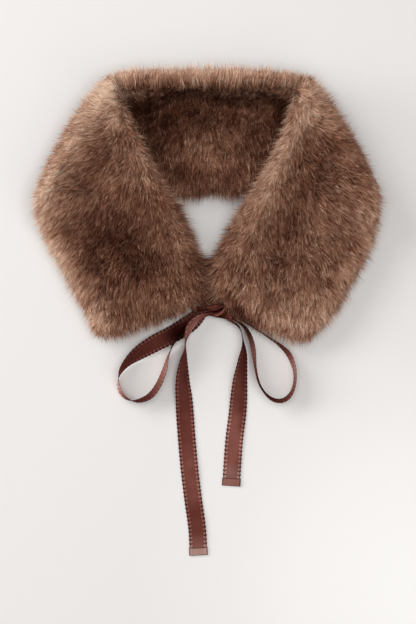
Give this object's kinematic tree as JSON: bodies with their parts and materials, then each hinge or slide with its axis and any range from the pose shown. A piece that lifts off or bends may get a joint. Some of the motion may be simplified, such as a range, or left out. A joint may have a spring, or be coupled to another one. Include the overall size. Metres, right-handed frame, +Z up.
{
  "type": "fur collar wrap",
  "caption": "Double-faced long-pile fur collar strip, laid flat with its ends folded over to the front and tied with a satin ribbon bow",
  "frame": {"origin": "middle of the footprint, on the surface that the collar lies on", "axes": "+Z up from the surface, +Y towards the nape edge, away from the ribbon tails, +X to the right as seen from above"},
  "size_m": [0.3838, 0.5401, 0.0679],
  "materials": {
    "fur_outer_back": "long-pile fur cloth, soft, dark roots and lighter tips",
    "fur_inner_back": "long-pile fur cloth on the neck side, soft and slightly darker",
    "fur_outer_left": "long-pile fur cloth, soft, dark roots and lighter tips",
    "fur_inner_left": "long-pile fur cloth on the neck side, soft and slightly darker",
    "fur_outer_right": "long-pile fur cloth, soft, dark roots and lighter tips",
    "fur_inner_right": "long-pile fur cloth on the neck side, soft and slightly darker",
    "satin_ties": "satin ribbon with a picot edge, soft sheen",
    "satin_bow": "satin ribbon with a picot edge, soft sheen",
    "satin_tails": "satin ribbon with a picot edge, soft sheen"
  },
  "bodies": {
    "root": {"outer_panel_back": "fur_outer_back", "inner_panel_back": "fur_inner_back", "outer_panel_left": "fur_outer_left", "inner_panel_left": "fur_inner_left", "outer_panel_right": "fur_outer_right", "inner_panel_right": "fur_inner_right", "ribbon_tie_left": "satin_ties", "ribbon_tie_right": "satin_ties", "bow_knot": "satin_bow", "bow_loop_left": "satin_bow", "bow_loop_right": "satin_bow", "ribbon_tail_left": "satin_tails", "ribbon_tail_right": "satin_tails"}
  },
  "joints": []
}
